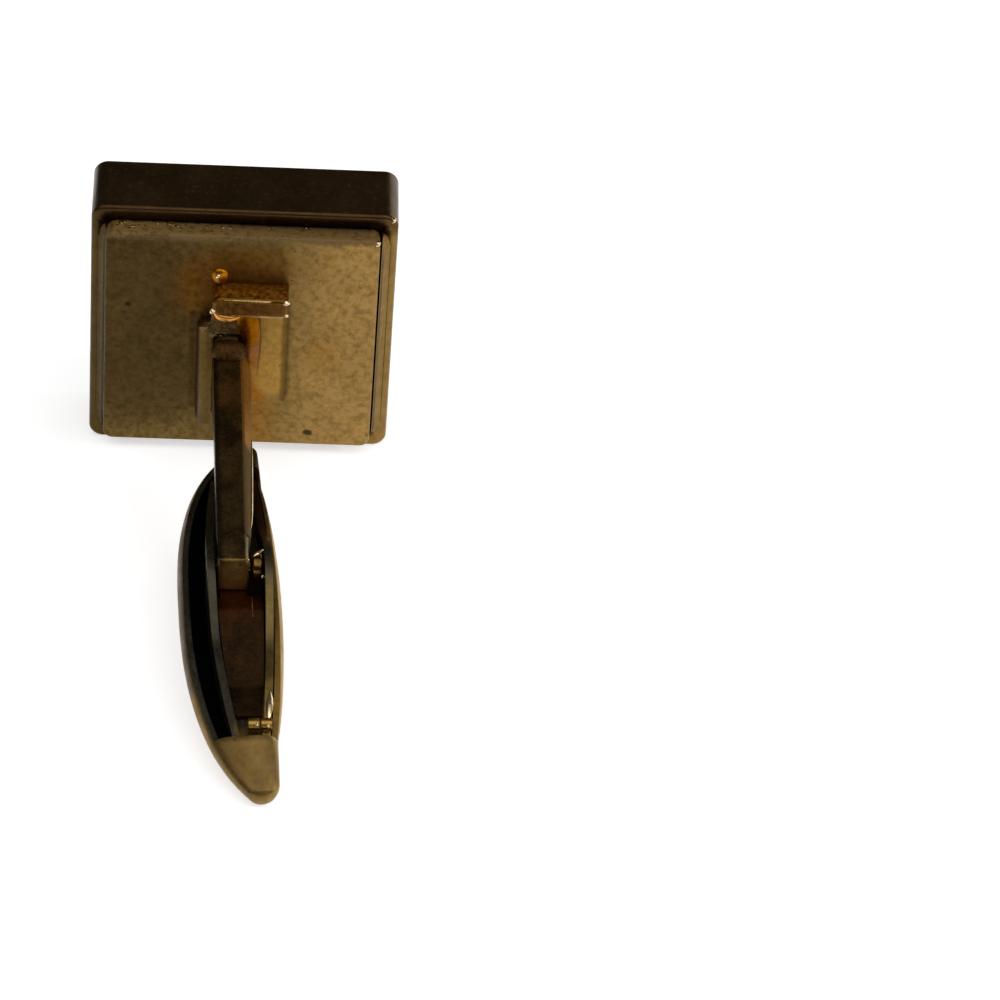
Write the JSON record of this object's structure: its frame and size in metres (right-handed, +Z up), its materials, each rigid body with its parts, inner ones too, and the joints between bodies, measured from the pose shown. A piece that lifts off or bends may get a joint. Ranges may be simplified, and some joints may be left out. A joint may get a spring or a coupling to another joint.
{
  "type": "cufflink",
  "caption": "Square cufflink with a hollow head, a flat post soldered to its raised back plate, and a boat-shaped swivel toggle that folds in line with the post.",
  "frame": {"origin": "centre of the bounding box's base, on the surface that the cufflink rests on", "axes": "+X across the head, +Y from the toggle's far tip to the head's front face, +Z up; the cufflink leans on the head's lower back edge and the toggle's tip"},
  "size_m": [0.015, 0.0324, 0.0152],
  "materials": {
    "head_case": "gold-plated, bright, smudged",
    "back_plate": "gold-plated, satin, tarnished",
    "post": "gold-plated, bright flat faces with fine pitting",
    "post_foot": "gold-plated, soldered",
    "pivot_pin": "turned rivet",
    "pin_collar": "gold-plated, bright",
    "toggle_shell": "gold-plated, satin outside, dark inside",
    "toggle_bracket": "bare sheet edge, tarnished",
    "leaf_spring": "gold-flashed spring strip, browned"
  },
  "bodies": {
    "head": {"head_case": "head_case", "back_plate": "back_plate", "post": "post", "post_foot": "post_foot"},
    "toggle": {"toggle_shell": "toggle_shell", "toggle_bracket": "toggle_bracket", "leaf_spring": "leaf_spring", "pivot_pin": "pivot_pin", "pin_collar": "pin_collar"}
  },
  "joints": [
    {"name": "toggle_swivel", "type": "hinge", "parent": "head", "child": "toggle", "pos_m": [-0.00005, -0.00394, 0.00468], "axis": [0.9979, 0.0642, 0.0063], "range_deg": [-90, 0], "deforming": ["leaf_spring"]}
  ]
}
